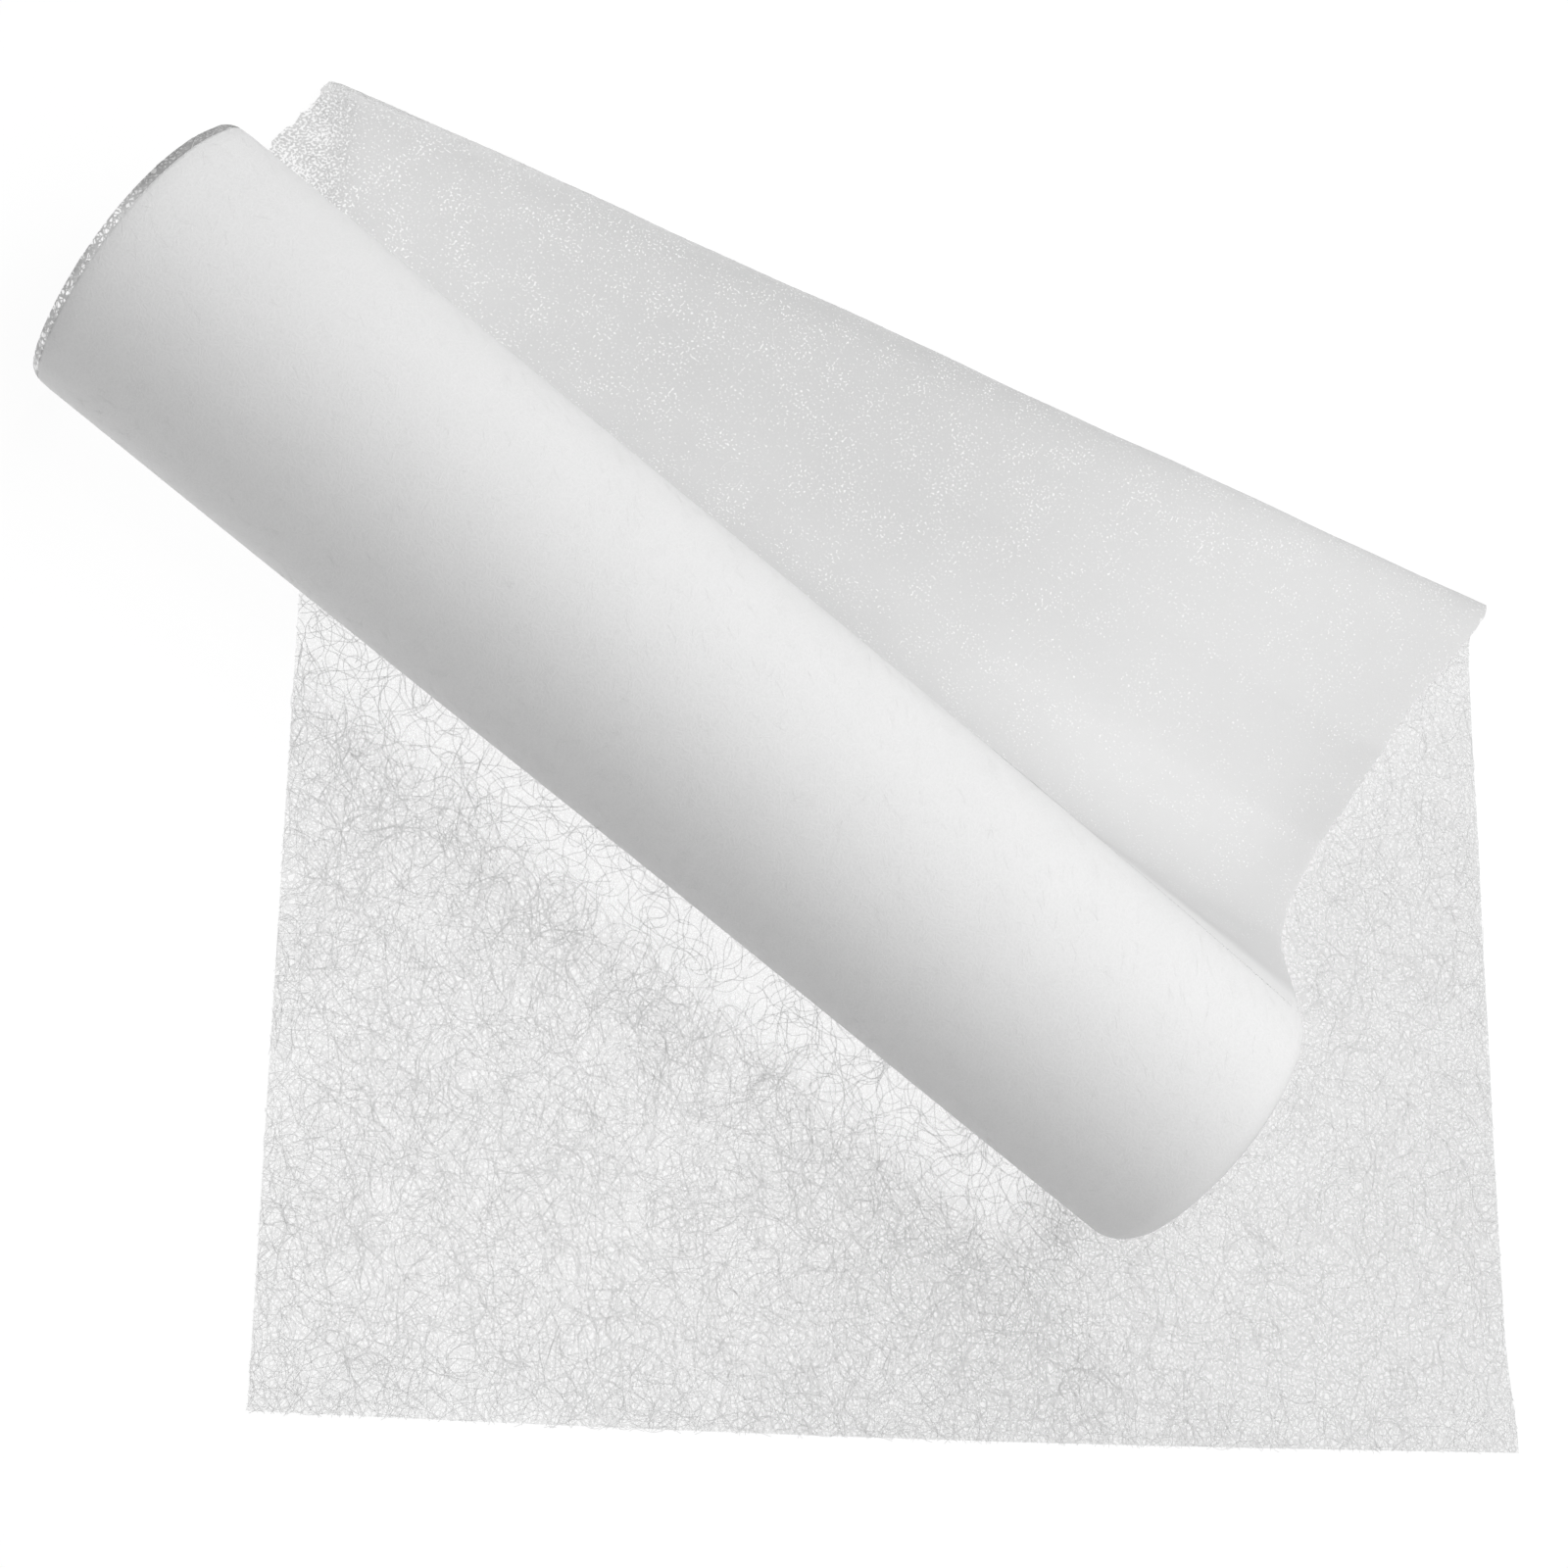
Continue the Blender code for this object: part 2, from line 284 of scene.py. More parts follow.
class RollForm:
    """The roll's outer surface, from the roll's sizes."""

    SLACK_WAVE = 0.00018
    STEEPEST_SHOULDER = 0.985
    STEEPEST_DROOP = 0.98
    BOW_TURN = math.radians(50)
    BOW_LENGTH = 0.012

    def __init__(self, roll, web):
        self.roll = roll
        self.web = web
        self.left = -web.width / 2
        self.right_end = roll.start + roll.length

    def share_along(self, x):
        return np.clip((x - self.left) / self.web.drawn_width, 0.0, 1.0)

    def part_angle(self, share):
        return mix(self.web.part_left, self.web.part_right, share**self.web.part_curve)

    def axis_y(self, share):
        return -self.roll.skew * (1 - share)

    def radius(self, angle, share):
        """The radius at this angle from the top towards +Y: a turn that is slack behind."""
        turned = self.part_angle(share) - angle
        slack = self.SLACK_WAVE * np.sin(3 * angle + 7 * share) * np.sin(math.pi * share)
        return self.roll.radius - self.roll.sink * np.sin(turned / 2) ** 2 + slack

    def inset(self, x):
        """How far the surface is drawn in along the soft right shoulder."""
        shoulder = self.roll.shoulder
        into = np.clip(x - (self.right_end - shoulder), 0.0, shoulder * self.STEEPEST_SHOULDER)
        return shoulder - np.sqrt(shoulder**2 - into**2)

    def droop(self, x):
        """How far the left end's edge is rounded inwards."""
        into = 1 - (x - self.roll.start) / self.roll.droop_length
        into = np.clip(into, 0.0, self.STEEPEST_DROOP)
        return self.roll.droop * (1 - np.sqrt(1 - into**2))

    def bow(self, x, angle):
        """How far the left end bows out at this angle, with its rim drawn in low down."""
        turn = np.clip(angle + self.BOW_TURN, -math.pi / 2, math.pi / 2)
        near_end = ease(self.BOW_LENGTH, 0.0, x - self.roll.start)
        return self.roll.rim_bow * np.sin(2 * turn) * near_end

    def place(self, x, around, lift):
        """Points on the roll: x along it, around it from the top towards +Y, and lifted off it."""
        share = self.share_along(x)
        angle = around / self.roll.radius
        reach = self.radius(angle, share) - self.inset(x) - self.droop(x) + lift
        y = self.axis_y(share) + reach * np.sin(angle)
        z = np.maximum(self.roll.axis_height + reach * np.cos(angle), self.roll.rest + lift)
        return np.column_stack([x - self.bow(x, angle), y, z])


class WebForm:
    """The loose end's middle surface, as a grid of points over the flat web."""

    COLUMNS = 123
    ROW_STEP = 0.00125
    HOLD_STEPS = 9
    FALL_STEPS = 10
    BEND_STEPS = 24
    RUN_STEPS = 30
    BACK_STEPS = 60
    BACK_POWER = 1.3
    LOOP_CHANGE = (-0.004, 0.010)
    DOUBLED_CHANGE = (-0.0040, 0.0080)
    RAGGED_LEFT = 0.005
    RAGGED_RIGHT = 0.004
    RIGHT_SHARE = 0.35
    EDGE_REACH = 0.02
    SWELL_START = 0.030
    SWELLS = [
        {"length": 0.085, "heading": 0.4, "phase": 0.3, "height": 0.00012},
        {"length": 0.047, "heading": 1.9, "phase": 1.7, "height": 0.00009},
        {"length": 0.029, "heading": 2.6, "phase": 4.0, "height": 0.00006},
    ]
    EDGE_WAVES = [
        {"length": 0.0210, "heading": math.pi / 2, "phase": 0.9, "height": 0.00035},
        {"length": 0.0083, "heading": math.pi / 2, "phase": 2.2, "height": 0.00028},
        {"length": 0.0047, "heading": math.pi / 2, "phase": 4.4, "height": 0.00022},
        {"length": 0.0026, "heading": math.pi / 2, "phase": 1.1, "height": 0.00014},
    ]

    def __init__(self, roll_form, web):
        self.roll_form = roll_form
        self.web = web
        slant = web.return_turn / 2
        self.fold_slope = math.tan(slant)
        self.fold_along = np.array([math.cos(slant), math.sin(slant), 0])
        self.fold_out = np.array([-math.sin(slant), math.cos(slant), 0])
        self.return_along = np.array([-math.sin(web.return_turn), math.cos(web.return_turn), 0])
        self.return_across = np.array([math.cos(web.return_turn), math.sin(web.return_turn), 0])
        self.across_step = web.width / (self.COLUMNS - 1)
        lines = [self.line(share) for share in np.linspace(0, 1, self.COLUMNS)]
        self.fold_length = np.array([fold for points, fold in lines])
        full_length = np.array([lengths_along(points)[-1] for points, fold in lines])
        self.free_length = full_length - web.held_length
        self.rows = int(np.ceil((self.free_length.max() + web.held_length) / self.ROW_STEP)) + 2
        self.points = np.stack([self.even_rows(points) for points, fold in lines])
        side = np.gradient(self.points, axis=0)
        along = np.gradient(self.points, axis=1)
        normal = np.cross(side, along)
        self.normals = normal / np.linalg.norm(normal, axis=2, keepdims=True)

    def even_rows(self, points):
        """The line's points at even steps from the cut end, and straight on past its far end."""
        reach = lengths_along(points)
        wanted = np.arange(self.rows) * self.ROW_STEP
        even = np.column_stack([np.interp(wanted, reach, points[:, axis]) for axis in range(3)])
        past = np.clip(wanted - reach[-1], 0.0, None)[:, None]
        heading = points[-1] - points[-2]
        return even + past * heading / np.linalg.norm(heading)

    def level(self, share):
        return mix(self.web.level_left, self.web.level_right, share)

    def cut_point(self, share):
        corner = np.array([self.web.corner[0], self.web.corner[1], self.web.lower_level])
        return corner + self.return_across * (self.web.width * share)

    def shoulder_inset(self, share):
        """How far the web sinks onto the roll's soft right shoulder at this line."""
        return float(self.roll_form.inset(self.roll_form.left + self.web.drawn_width * share))

    def hold(self, share):
        """The stretch that still lies on the roll, as (y, z) down to where the web parts."""
        form = self.roll_form
        end = form.part_angle(share)
        start = end - self.web.held_length / form.roll.radius
        angles = np.linspace(start, end, self.HOLD_STEPS)[:-1]
        reach = form.radius(angles, share) - self.shoulder_inset(share) + HELD_LIFT
        y = form.axis_y(share) + reach * np.sin(angles)
        return np.column_stack([y, form.roll.axis_height + reach * np.cos(angles)])

    def drop(self, share):
        """The fall from the roll's side to the upper layer's level, as (y, z)."""
        form = self.roll_form
        angle = form.part_angle(share)
        level = self.level(share)
        heading = np.array([math.cos(angle), -math.sin(angle)])
        middle = np.array([form.axis_y(share), form.roll.axis_height])
        reach = float(form.radius(angle, share)) - self.shoulder_inset(share) + HELD_LIFT
        start = middle + reach * np.array([math.sin(angle), math.cos(angle)])
        corner_reach = (start[1] - level) / math.sin(angle)
        bend = mix(self.web.bend_left, self.web.bend_right, share)
        bend_reach = bend * math.tan(angle / 2)
        straight = np.linspace(0, corner_reach - bend_reach, self.FALL_STEPS)[:-1, None]
        corner = start + heading * corner_reach
        centre = np.array([corner[0] + bend_reach, level + bend])
        turns = np.linspace(angle, 0, self.BEND_STEPS)
        round_bend = centre + bend * np.column_stack([-np.sin(turns), -np.cos(turns)])
        return np.vstack([start + heading * straight, round_bend])

    def fold_place(self, share):
        foot = self.cut_point(share)
        x = self.roll_form.left + self.web.drawn_width * share
        place = foot + self.return_along * ((x - foot[0]) / self.return_along[0])
        drawn_in = mix(self.web.left_drawn_in, self.web.right_drawn_in, share)
        drawn_in -= self.web.fold_bow * math.sin(math.pi * math.sqrt(share))
        return place - np.array([0, drawn_in, place[2]])

    def draw_in(self, share, points):
        """Draws the points of the upper layer's edge in a little where it starts to rise."""
        web = self.web
        reach = (self.fold_place(share)[1] - points[:, 1] - web.neck_from_fold) / web.neck_length
        points[:, 0] -= web.neck * np.exp(-(reach**2)) * share**4
        return points

    def loop(self, share):
        """Round the loop. The line moves along the fold as it goes, as a slanting web does."""
        height = mix(self.web.loop_left, self.web.loop_right, share)
        section = []
        for number, row in enumerate(LOOP_SECTION):
            base = self.level(share) if number < TURNS_ROUND else self.web.lower_level
            section.append((row["out"] * height, mix(base, height, row["up"])))
        section = smooth_curve(np.array(section))
        travel = lengths_along(section)
        flat_out = (travel[-1] + section[0, 0] + section[-1, 0]) / 2
        out = section[:, 0] - flat_out
        along = (travel + out[0]) * self.fold_slope
        points = np.outer(out, self.fold_out) + np.outer(along, self.fold_along)
        points += self.fold_place(share)
        points[:, 2] += section[:, 1]
        return self.draw_in(share, points), int(np.argmax(section[:, 0]))

    def run(self, share, start, end):
        """The stretch over the table between the fall and the loop, with its low swells."""
        step = np.linspace(0, 1, self.RUN_STEPS)[1:-1]
        swell = 0.55 + 0.45 * np.sin(7.3 * share + 2.1 * step + 0.6)
        y = mix(start[1], end[1], step)
        z = mix(start[2], end[2], step**self.web.rise_power)
        z = z + self.web.ripple * swell * np.sin(math.pi * step)
        return self.draw_in(share, np.column_stack([np.full(len(step), start[0]), y, z]))

    def way_back(self, share, start):
        """The lower layer from the loop to the cut end, with the flare and the bow of its end."""
        web = self.web
        foot = self.cut_point(share)
        full = np.linalg.norm(start - foot)
        length = full * np.linspace(1, 0, self.BACK_STEPS)[1:] ** self.BACK_POWER
        flare = web.flare * np.exp(-((length / web.flare_length) ** 2)) * share**6
        near_end = np.clip(1 - length / web.end_bow_length, 0, 1)
        bow = web.end_bow * math.sin(math.pi * share) * near_end
        points = foot + (start - foot) * (length / full)[:, None]
        return points + np.outer(flare, self.return_across) - np.outer(bow, self.return_along)

    def line(self, share):
        """One lengthwise line from the cut end to the roll, and how far along it the fold lies."""
        x = self.roll_form.left + self.web.drawn_width * share
        fall = np.vstack([self.hold(share), self.drop(share)])
        fall = np.column_stack([np.full(len(fall), x), fall])
        loop, tip = self.loop(share)
        run = self.run(share, fall[-1], loop[0])
        back = self.way_back(share, loop[-1])
        points = np.vstack([fall, run, loop, back])[::-1]
        fold_number = len(points) - 1 - (len(fall) + len(run) + tip)
        return points, lengths_along(points)[fold_number]

    def look_up(self, grid, across, along):
        column = across / self.across_step
        row = along / self.ROW_STEP
        i = np.clip(np.floor(column).astype(int), 0, self.COLUMNS - 2)
        j = np.clip(np.floor(row).astype(int), 0, self.rows - 2)
        u, v = (column - i)[:, None], (row - j)[:, None]
        near = grid[i, j] * (1 - u) + grid[i + 1, j] * u
        far = grid[i, j + 1] * (1 - u) + grid[i + 1, j + 1] * u
        return near * (1 - v) + far * v

    def at_share(self, values, across):
        """A value of the lengthwise lines, such as the fold's place, at this distance across."""
        return np.interp(across / self.web.width, np.linspace(0, 1, self.COLUMNS), values)

    def upper(self, across, along):
        """0 on the lower layer and 1 on the upper one, changing round the loop."""
        fold = self.at_share(self.fold_length, across)
        return ease(*self.LOOP_CHANGE, along - fold)

    def doubled(self, points):
        """1 on the lower layer and above it, and 0 left of its edge."""
        corner = np.array([self.web.corner[0], self.web.corner[1], 0])
        return ease(*self.DOUBLED_CHANGE, (points - corner) @ self.return_across)

    def place(self, across, along, lift):
        """Points on the web, from its flat coordinates and their lift off its upper face."""
        upper = self.upper(across, along)
        ragged = waves(across, along, self.EDGE_WAVES)
        near_left = np.exp(-np.abs(across) / self.RAGGED_LEFT) * upper
        near_right = np.exp(-np.abs(across - self.web.width) / self.RAGGED_RIGHT)
        near_right = near_right * self.RIGHT_SHARE * upper
        drawn = self.web.edge_drawn_in * np.exp(-np.abs(across) / self.EDGE_REACH) * upper
        across = across + ragged * (near_left + near_right) + drawn
        free = self.at_share(self.free_length, across)
        swell = waves(across, along, self.SWELLS) * ease(0.0, self.SWELL_START, free - along)
        facing = mix(1.0, -1.0, upper)
        points = self.look_up(self.points, across, along)
        normals = self.look_up(self.normals, across, along)
        return points + normals * (lift * facing + swell)[:, None]

    def place_lines(self, lines):
        """Points on the web for the points of flat lines, one after the other."""
        flat = lines.reshape(-1, 2)
        return self.place(flat[:, 0], flat[:, 1], np.zeros(len(flat)))


def feed(tree, socket, value):
    if isinstance(value, Number):
        tree.links.new(value.socket, socket)
    else:
        socket.default_value = value


def add_node(tree, kind, settings, sockets, output):
    """Adds a node with its settings and its sockets' values or links, and gives one output."""
    node = tree.nodes.new(kind)
    for name, value in settings.items():
        setattr(node, name, value)
    for name, value in sockets.items():
        feed(tree, node.inputs[name], value)
    return Number(tree, node.outputs[output])


class Number:
    """A shader value that takes Python's arithmetic: each step adds a Math node."""

    def __init__(self, tree, socket):
        self.tree = tree
        self.socket = socket

    def step(self, operation, *operands):
        return add_node(
            self.tree, "ShaderNodeMath", {"operation": operation}, dict(enumerate(operands)), 0)

    def apply(self, operation):
        """The outcome of an operation on this value alone."""
        return self.step(operation, self)

    def __add__(self, other):
        return self.step("ADD", self, other)

    def __radd__(self, other):
        return self.step("ADD", other, self)

    def __sub__(self, other):
        return self.step("SUBTRACT", self, other)

    def __rsub__(self, other):
        return self.step("SUBTRACT", other, self)

    def __mul__(self, other):
        return self.step("MULTIPLY", self, other)

    def __rmul__(self, other):
        return self.step("MULTIPLY", other, self)

    def __truediv__(self, other):
        return self.step("DIVIDE", self, other)


class Finish:
    """A procedural material while it is made."""

    def __init__(self, name, roughness):
        self.material = bpy.data.materials.new(name)
        self.material.use_nodes = True
        self.tree = self.material.node_tree
        self.shader = self.tree.nodes["Principled BSDF"]
        self.set("Roughness", roughness)
        self.set("Specular IOR Level", FAINT_SHINE)

    def set(self, name, value):
        feed(self.tree, self.shader.inputs[name], value)

    def node(self, kind, settings, sockets, output):
        return add_node(self.tree, kind, settings, sockets, output)

    def object_place(self):
        return self.node("ShaderNodeTexCoord", {}, {}, "Object")

    def axis(self, place, name):
        return self.node("ShaderNodeSeparateXYZ", {}, {"Vector": place}, name)

    def attribute(self, name):
        return self.node("ShaderNodeAttribute", {"attribute_name": name}, {}, "Fac")

    def flat_place(self, web, length):
        """The web's flat coordinates in millimetres, from its own UV map."""
        flat = self.node("ShaderNodeTexCoord", {}, {}, "UV")
        scale = (web.width / MILLIMETRE, length / MILLIMETRE, 1.0)
        return self.node("ShaderNodeMapping", {}, {"Vector": flat, "Scale": scale}, "Vector")

    def ease(self, value, low, high, start=0.0, end=1.0):
        sockets = {0: value, "From Min": low, "From Max": high, "To Min": start, "To Max": end}
        settings = {"interpolation_type": "SMOOTHSTEP"}
        return self.node("ShaderNodeMapRange", settings, sockets, "Result")

    def clouds(self, place, size, detail, dimensions="2D"):
        """Soft noise about 0.5, with patches of about this size."""
        sockets = {"Vector": place, "Scale": 1 / size, "Detail": detail}
        return self.node("ShaderNodeTexNoise", {"noise_dimensions": dimensions}, sockets, "Fac")

    def drift(self, place, size):
        """A wandering shift of a flat place, for strands to follow."""
        sockets = {"Vector": place, "Scale": 0.42 / size, "Detail": 1.0}
        drift = self.node("ShaderNodeTexNoise", {"noise_dimensions": "2D"}, sockets, "Color")
        return self.vector("SUBTRACT", {0: drift, 1: (0.5, 0.5, 0.5)})

    def strands(self, place, drift, pitch, width, turn, stretch, shift):
        """Wavy strands: 1 on a strand and 0 between, from the borders of bent cells."""
        sockets = {
            "Vector": place,
            "Location": (shift, -0.7 * shift, 0),
            "Rotation": (0, 0, turn),
            "Scale": (1, stretch, 1),
        }
        turned = self.node("ShaderNodeMapping", {}, sockets, "Vector")
        border = self.cell_border(self.bend(turned, drift, 2.0 * pitch), 1 / pitch, "2D")
        half = width / pitch / 2
        return self.ease(border, half * 0.7, half * 1.3, 1.0, 0.0)

    def bend(self, place, drift, amount):
        return self.vector("ADD", {0: place, 1: self.vector("SCALE", {0: drift, "Scale": amount})})

    def vector(self, operation, sockets):
        return self.node("ShaderNodeVectorMath", {"operation": operation}, sockets, "Vector")

    def cell_border(self, place, scale, dimensions):
        """The distance to the nearest border between cells."""
        settings = {"voronoi_dimensions": dimensions, "feature": "DISTANCE_TO_EDGE"}
        sockets = {"Vector": place, "Scale": scale}
        return self.node("ShaderNodeTexVoronoi", settings, sockets, "Distance")

    def blend(self, dark, light, value):
        """A colour between two others, each of them a colour or a link."""
        low, high = (end if isinstance(end, Number) else (*end, 1.0) for end in (dark, light))
        return self.node("ShaderNodeMix", {"data_type": "RGBA"}, {0: value, 6: low, 7: high}, 2)

    def paint(self, dark, light, value):
        self.set("Base Color", self.blend(dark, light, value))

    def bump(self, height, distance, strength):
        sockets = {"Height": height, "Distance": distance, "Strength": strength}
        self.set("Normal", self.node("ShaderNodeBump", {}, sockets, "Normal"))

    def let_light_through(self, share, colour, cover=1.0):
        """Lets a share of the light from beneath through the fibres, and all of it between them."""
        lit_from_above = Number(self.tree, self.shader.outputs[0])
        from_beneath = self.node("ShaderNodeBsdfTranslucent", {}, {"Color": (*colour, 1.0)}, 0)
        fibres = self.mix_shaders(share, lit_from_above, from_beneath)
        surface = self.mix_shaders(cover, self.node("ShaderNodeBsdfTransparent", {}, {}, 0), fibres)
        feed(self.tree, self.tree.nodes["Material Output"].inputs["Surface"], surface)

    def mix_shaders(self, share, first, second):
        return self.node("ShaderNodeMixShader", {}, {0: share, 1: first, 2: second}, 0)

    def paint_hole_glow(self, holes, strength):
        """Paints a glow into small holes: painted light for the lit table shining through them."""
        self.glow(self.blend((0.0, 0.0, 0.0), (1.0, 1.0, 1.0), holes), strength)

    def glow(self, colour, strength):
        self.set("Emission Color", colour)
        self.set("Emission Strength", strength)
        self.material.cycles.emission_sampling = "NONE"


def wound_finish(looks, roll):
    """Many layers of web: almost even, with a fine grain that runs round the roll."""
    finish = Finish("wound_web", 0.85)
    place = finish.object_place()
    y, z = finish.axis(place, "Y"), finish.axis(place, "Z") - roll.axis_height
    around = y.step("ARCTAN2", y, z) * (roll.radius / MILLIMETRE)
    x = finish.axis(place, "X") * (1 / MILLIMETRE)
    unrolled = finish.node("ShaderNodeCombineXYZ", {}, {"X": x, "Y": around}, "Vector")
    fine = finish.strands(unrolled, finish.drift(unrolled, 1.2), 1.1, 0.36, 0.3, 0.7, 11.0)
    felt = finish.clouds(unrolled, 0.7, 3.0)
    patches = finish.clouds(unrolled, 16.0, 2.0)
    tone = 0.40 * felt + 0.25 * patches + 0.14 * fine + 0.10
    finish.paint(shaded(looks.roll, 0.93), shaded(looks.roll, 1.045), tone)
    finish.bump(felt + 0.5 * fine, 0.00010, 0.25)
    return finish.material


def end_finish(looks, roll):
    """The web's cut edges on the roll's ends, one beside the other, turn after turn."""
    finish = Finish("wound_edges", 0.9)
    place = finish.object_place()
    y, z = finish.axis(place, "Y"), finish.axis(place, "Z") - roll.axis_height
    reach = (y * y + z * z).apply("SQRT") * (1 / MILLIMETRE)
    angle = y.step("ARCTAN2", y, z) * (1 / math.tau)
    wander = finish.clouds(place, 0.009, 2.0, "3D")
    turns = reach / (roll.turn_pitch / MILLIMETRE) - angle + wander * 1.2
    groove = (turns * math.tau).apply("SINE")
    thin_turns = (turns * (math.tau * 3.1)).apply("SINE")
    fuzz = finish.clouds(place, 0.0006, 3.0, "3D")
    tone = 0.42 + 0.16 * groove + 0.10 * thin_turns + 0.45 * (fuzz - 0.5)
    finish.paint(shaded(looks.roll, 0.72), looks.roll, tone)
    finish.bump(groove * 0.5 + thin_turns * 0.3 + fuzz, 0.0003, 0.6)
    return finish.material


def lace_finish(looks):
    """The thin rim of the last turn, which is a single see-through layer."""
    finish = Finish("rim_lace", 0.85)
    place = finish.object_place()
    drift = finish.node("ShaderNodeTexNoise", {}, {"Vector": place, "Scale": 700.0}, "Color")
    bent = finish.bend(place, drift, 0.0012)
    open_first = finish.ease(finish.cell_border(bent, 900.0, "3D"), 0.06, 0.16)
    open_second = finish.ease(finish.cell_border(bent, 560.0, "3D"), 0.05, 0.13)
    hole_and_glow = open_first * open_second
    # The rim is painted dark on its far side as painted shade and light on its near side as painted
    # light, where its holes are painted glowing rather than see-through.
    near_side = finish.ease(finish.axis(place, "Y"), 0.004, -0.014)
    finish.set("Alpha", 1 - 0.30 * hole_and_glow * (1 - near_side))
    finish.paint_hole_glow(hole_and_glow * near_side, looks.painted_hole_glow)
    tone = finish.clouds(place, 0.002, 2.0, "3D") - 0.75 + 1.15 * near_side
    finish.paint(RIM_PAINTED_SHADE, looks.fibre_light, tone)
    return finish.material


def web_finish(looks, web, length):
    """One layer of loose fibres: open and cloudy below, closer above."""
    finish = Finish("loose_web", 0.85)
    flat = finish.flat_place(web, length)
    place = finish.object_place()
    upper = finish.attribute("upper")
    wide = finish.clouds(flat, 34.0, 2.0)
    small = finish.clouds(flat, 7.0, 2.0)
    clouds = finish.ease(0.6 * wide + 0.4 * small, 0.40, 0.60)
    drift = finish.drift(flat, 1.2)
    fine = finish.strands(flat, drift, 1.05, 0.28, 0.15, 0.85, 3.0)
    crossing = finish.strands(flat, drift, 1.40, 0.32, 0.95, 0.85, 31.0)
    grain = finish.clouds(flat, 0.62, 2.0)
    strand = 1 - (1 - fine * 0.75) * (1 - crossing * 0.75)
    x, y = finish.axis(place, "X"), finish.axis(place, "Y")
    # The lower layer is painted darker and drawn closer towards +X: painted shade where more light
    # falls.
    right_painted_shade = finish.ease(x, *RIGHT_PAINTED_SHADE)
    single_upper = upper * (1 - finish.attribute("doubled"))
    lower_cover = 0.18 + 0.06 * clouds + 0.64 * strand + 0.12 * right_painted_shade
    right = finish.ease(x, 0.0, 0.11)
    left = finish.ease(x, -0.13, -0.05, 1.0, 0.0)
    cluster = finish.ease(finish.clouds(flat, 10.0, 1.0), 0.46, 0.62)
    near_fold = finish.attribute("near_fold")
    least = 0.70 - 0.05 * cluster - 0.03 * near_fold + 0.03 * right - 0.150 * single_upper
    # Specks of the upper layer that are painted glowing: painted light for the table shining
    # through small holes.
    hole_and_glow = finish.ease(grain - least, 0.0, 0.03)
    # The web is drawn sparser in a strip beside the roll, so more of the lit table shows: partly a
    # sparser web, partly painted light where the roll's shade falls.
    beside_roll = finish.ease(y, -0.050, -0.030) * finish.ease(x, 0.130, 0.150, 1.0, 0.0)
    lower_cover = lower_cover * (1 - 0.65 * beside_roll)
    cover = lower_cover * (1 - upper) + 0.98 * upper
    near_roll = finish.attribute("near_roll")
    past_hold = finish.attribute("past_hold") + 3.0 * (grain - 0.5)
    cover = cover * finish.ease(past_hold, 0.0, 0.5, 1.0, 0.0)
    finish.let_light_through(0.40 * finish.ease(near_roll, 0.5, 1.0, 1.0, 0.0), looks.web, cover)
    open_tone = 0.62 + 0.10 * clouds - 0.50 * right_painted_shade
    # The upper layer is painted lighter towards +X, as painted light from beneath, and lighter
    # towards the left end.
    close_tone = 0.38 + 0.15 * (grain - 0.5) + 0.64 * right + 0.29 * left
    # The upper layer is painted darker in a band along the fold: painted shade by the crease.
    close_tone = close_tone - 0.42 * finish.attribute("fold_painted_shade") - 0.55 * single_upper
    tone = open_tone * (1 - upper) + close_tone * upper
    loose = finish.blend(looks.web_deep, looks.web, tone)
    finish.paint_hole_glow(hole_and_glow * upper * (1 - near_roll), looks.painted_hole_glow)
    finish.paint(loose, looks.roll, near_roll)
    finish.bump(strand + 0.4 * grain, 0.00010, 0.30)
    return finish.material


def fibre_finish(name, dark, light, through, painted_shade_at_right=0.0):
    """Single strands: the ones on top are painted lighter, as painted shade on the lower ones, and
    light comes through them.
    """
    finish = Finish(name, 0.8)
    place = finish.object_place()
    patches = finish.clouds(place, 0.011, 1.0, "3D")
    # Strands are painted darker towards +X: painted shade where more light falls.
    right = finish.ease(finish.axis(place, "X"), *RIGHT_PAINTED_SHADE)
    # Higher strands are painted lighter: a tone that differs at random from strand to strand, and
    # painted shade on the lower ones.
    tone = 0.66 + 0.24 * finish.attribute("height_share") + 0.16 * patches - painted_shade_at_right * right
    finish.paint(dark, light, tone)
    finish.let_light_through(through, light)
    return finish.material


def table_finish(looks, stage):
    """A pale table lit from below, so that hardly a shadow shows on it."""
    finish = Finish("pale_table", 0.9)
    place = finish.object_place()
    mottle = finish.clouds(place, 0.4, 1.0, "3D")
    shade = shaded(looks.table, stage.table_shade)
    finish.paint(shade, shaded(shade, 1.02), mottle)
    finish.set("Specular IOR Level", 0.0)
    finish.glow((*looks.table, 1.0), stage.table_glow / looks.table[0])
    return finish.material


def mesh_from(bm, name):
    mesh = bpy.data.meshes.new(name)
    bm.to_mesh(mesh)
    bm.free()
    return mesh


def add_object(name, mesh):
    obj = bpy.data.objects.new(name, mesh)
    bpy.context.scene.collection.objects.link(obj)
    return obj


def point_values(mesh, name, values):
    """Keeps one number a point on the mesh, for its finish to read."""
    attribute = mesh.attributes.new(name, "FLOAT", "POINT")
    attribute.data.foreach_set("value", np.asarray(values, dtype=np.float32))


def read_points(mesh):
    flat = np.empty(len(mesh.vertices) * 3, dtype=np.float32)
    mesh.vertices.foreach_get("co", flat)
    return flat.reshape(-1, 3).astype(float)


def write_points(mesh, points):
    mesh.vertices.foreach_set("co", points.astype(np.float32).ravel())
    mesh.update()


